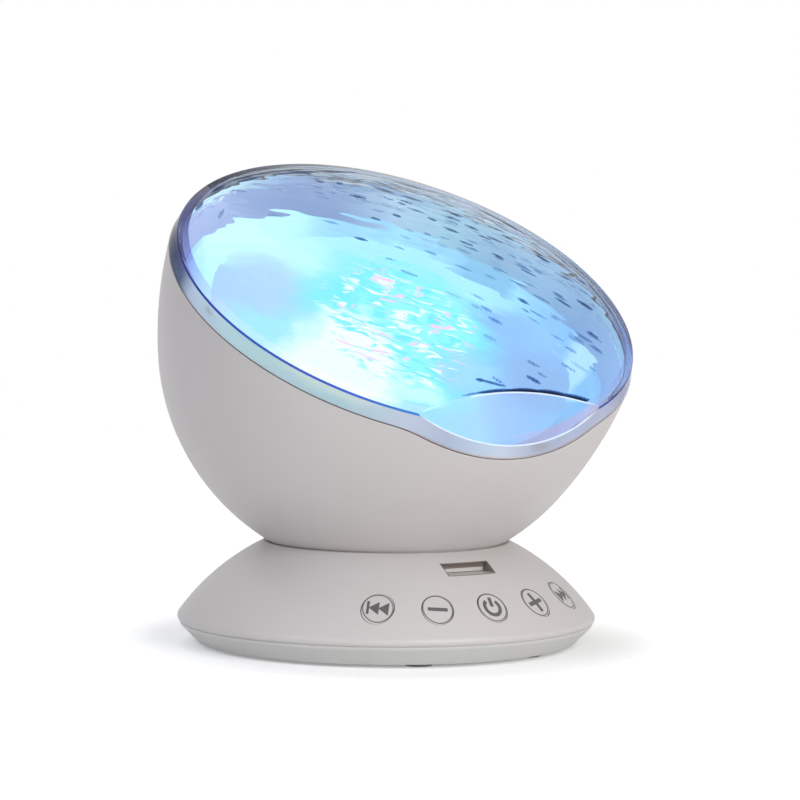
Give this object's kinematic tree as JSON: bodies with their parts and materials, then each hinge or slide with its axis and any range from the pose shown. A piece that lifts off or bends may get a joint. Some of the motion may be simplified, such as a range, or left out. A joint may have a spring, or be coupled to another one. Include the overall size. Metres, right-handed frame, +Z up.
{
  "type": "ocean wave projector",
  "caption": "Bedside night light that projects moving water ripples, with a round base, front keys and a tilted clear rippled cover on a bowl.",
  "frame": {"origin": "on the base's vertical axis, in the plane of the feet", "axes": "+Z up, -Y towards the front, where the keys and the low side of the clear cover are, +X to the user's right when they face the keys"},
  "size_m": [0.1338, 0.1272, 0.1337],
  "materials": {
    "body_plastic": "fine satin, warm light grey",
    "foot_rubber": "matt",
    "screw_steel": "zinc plated",
    "black_plastic": "satin",
    "speaker_paper": "pressed paper",
    "magnet_steel": "plated",
    "board_laminate": "solder mask, satin",
    "socket_steel": "plated",
    "window_plastic": "smooth, pale grey",
    "white_plastic": "satin",
    "reflector_white": "smooth white",
    "white_board": "white solder mask",
    "led_epoxy": "clear epoxy",
    "bush_brass": "turned",
    "motor_steel": "drawn can",
    "gear_plastic": "natural acetal, satin",
    "wave_acrylic": "clear, rippled",
    "clear_cover": "clear, blue tinted, rippled",
    "plunger_plastic": "satin"
  },
  "bodies": {
    "housing": {"base_shell": "body_plastic", "base_tray": "body_plastic", "rubber_feet": "foot_rubber", "tray_screws": "screw_steel", "speaker_frame": "black_plastic", "speaker_cone": "speaker_paper", "speaker_magnet": "magnet_steel", "main_board": "board_laminate", "power_socket": "socket_steel", "audio_jack": "black_plastic", "board_screws": "screw_steel", "key_board": "board_laminate", "key_switches": "black_plastic", "ir_window": "window_plastic", "ir_board": "board_laminate", "ir_receiver": "black_plastic", "bowl_shell": "body_plastic", "neck_screws": "screw_steel", "head_frame": "white_plastic", "frame_screws": "screw_steel", "reflector": "reflector_white", "led_board": "white_board", "projection_leds": "led_epoxy", "gearbox_plate": "white_plastic", "gearbox_screws": "screw_steel", "idler_pins": "screw_steel", "shaft_bushes": "bush_brass", "motor_can": "motor_steel", "motor_screws": "screw_steel", "lens_cover": "clear_cover"},
    "wave_rotor": {"wave_disc": "wave_acrylic", "rotor_shaft": "screw_steel", "output_gear": "gear_plastic"},
    "second_idler": {"second_idler": "gear_plastic"},
    "first_idler": {"first_idler": "gear_plastic"},
    "motor_rotor": {"motor_shaft": "screw_steel", "motor_pinion": "gear_plastic"},
    "previous_key": {"previous_key": "body_plastic", "previous_plunger": "plunger_plastic"},
    "minus_key": {"minus_key": "body_plastic", "minus_plunger": "plunger_plastic"},
    "power_key": {"power_key": "body_plastic", "power_plunger": "plunger_plastic"},
    "plus_key": {"plus_key": "body_plastic", "plus_plunger": "plunger_plastic"},
    "next_key": {"next_key": "body_plastic", "next_plunger": "plunger_plastic"}
  },
  "joints": [
    {"name": "wave_spin", "type": "hinge", "parent": "housing", "child": "wave_rotor", "pos_m": [0, -0.00104, 0.08521], "axis": [0, -0.5225, 0.8526], "continuous": true},
    {"name": "second_idler_spin", "type": "hinge", "parent": "housing", "child": "second_idler", "pos_m": [0, 0.02684, 0.07415], "axis": [0, -0.5225, 0.8526], "continuous": true},
    {"name": "first_idler_spin", "type": "hinge", "parent": "housing", "child": "first_idler", "pos_m": [-0.01351, 0.02176, 0.06751], "axis": [0, -0.5225, 0.8526], "continuous": true},
    {"name": "motor_spin", "type": "hinge", "parent": "housing", "child": "motor_rotor", "pos_m": [-0.0146, 0.00954, 0.05768], "axis": [0, -0.5225, 0.8526], "continuous": true},
    {"name": "previous_press", "type": "slide", "parent": "housing", "child": "previous_key", "axis": [0, 0.342, -0.9397], "range_m": [0, 0.0005], "stiffness_N_per_m": 800},
    {"name": "minus_press", "type": "slide", "parent": "housing", "child": "minus_key", "axis": [0, 0.342, -0.9397], "range_m": [0, 0.0005], "stiffness_N_per_m": 800},
    {"name": "power_press", "type": "slide", "parent": "housing", "child": "power_key", "axis": [0, 0.342, -0.9397], "range_m": [0, 0.0005], "stiffness_N_per_m": 800},
    {"name": "plus_press", "type": "slide", "parent": "housing", "child": "plus_key", "axis": [0, 0.342, -0.9397], "range_m": [0, 0.0005], "stiffness_N_per_m": 800},
    {"name": "next_press", "type": "slide", "parent": "housing", "child": "next_key", "axis": [0, 0.342, -0.9397], "range_m": [0, 0.0005], "stiffness_N_per_m": 800}
  ],
  "couplings": [
    {"joint": "second_idler_spin", "follows": "wave_spin", "ratio": -4},
    {"joint": "first_idler_spin", "follows": "wave_spin", "ratio": 13.333},
    {"joint": "motor_spin", "follows": "wave_spin", "ratio": -44.444}
  ]
}
